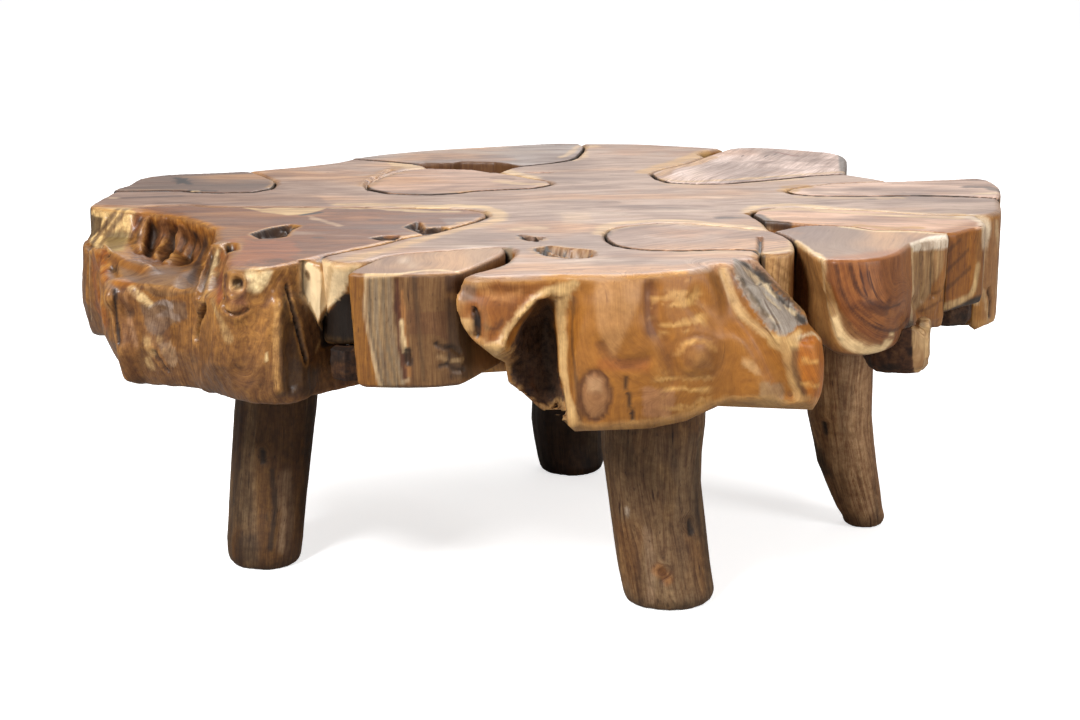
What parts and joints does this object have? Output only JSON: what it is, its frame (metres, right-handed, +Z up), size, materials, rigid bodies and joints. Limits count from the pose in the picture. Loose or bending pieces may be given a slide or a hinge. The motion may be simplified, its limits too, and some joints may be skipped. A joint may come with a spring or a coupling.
{
  "type": "coffee table",
  "caption": "Low coffee table with an irregular flat top of fitted teak root slices, eroded root edges and splayed round legs.",
  "frame": {"origin": "on the floor, under the centre of the table's bounding box", "axes": "+X to the right along the longest side, +Y to the back, +Z up"},
  "size_m": [1.2091, 1.0277, 0.44],
  "materials": {
    "teak_slab": "clear gloss varnish over sanded teak root",
    "teak_eroded_root": "gloss varnish over brushed, eroded root",
    "teak_infill": "clear gloss varnish over sanded teak root",
    "teak_under_block": "dull varnish over rough dark root",
    "teak_leg": "matt, peeled and weathered branch",
    "teak_dowel": "plain turned dowel",
    "steel_fixing": "zinc-plated",
    "brass_insert": "plain"
  },
  "bodies": {
    "root": {"root_slab": "teak_slab", "left_front_root": "teak_eroded_root", "front_left_block": "teak_infill", "left_back_infill": "teak_infill", "lobe_infill": "teak_infill", "back_infill": "teak_infill", "back_right_infill": "teak_infill", "right_back_infill": "teak_infill", "right_strip_infill": "teak_infill", "right_block": "teak_infill", "front_lens_infill": "teak_infill", "right_under_block": "teak_under_block", "right_end_under_block": "teak_under_block", "left_under_block": "teak_under_block", "leg_front": "teak_leg", "leg_left": "teak_leg", "leg_right": "teak_leg", "leg_back": "teak_leg", "seam_dowels": "teak_dowel", "leg_studs": "steel_fixing", "leg_inserts": "brass_insert", "block_screws": "steel_fixing"}
  },
  "joints": []
}
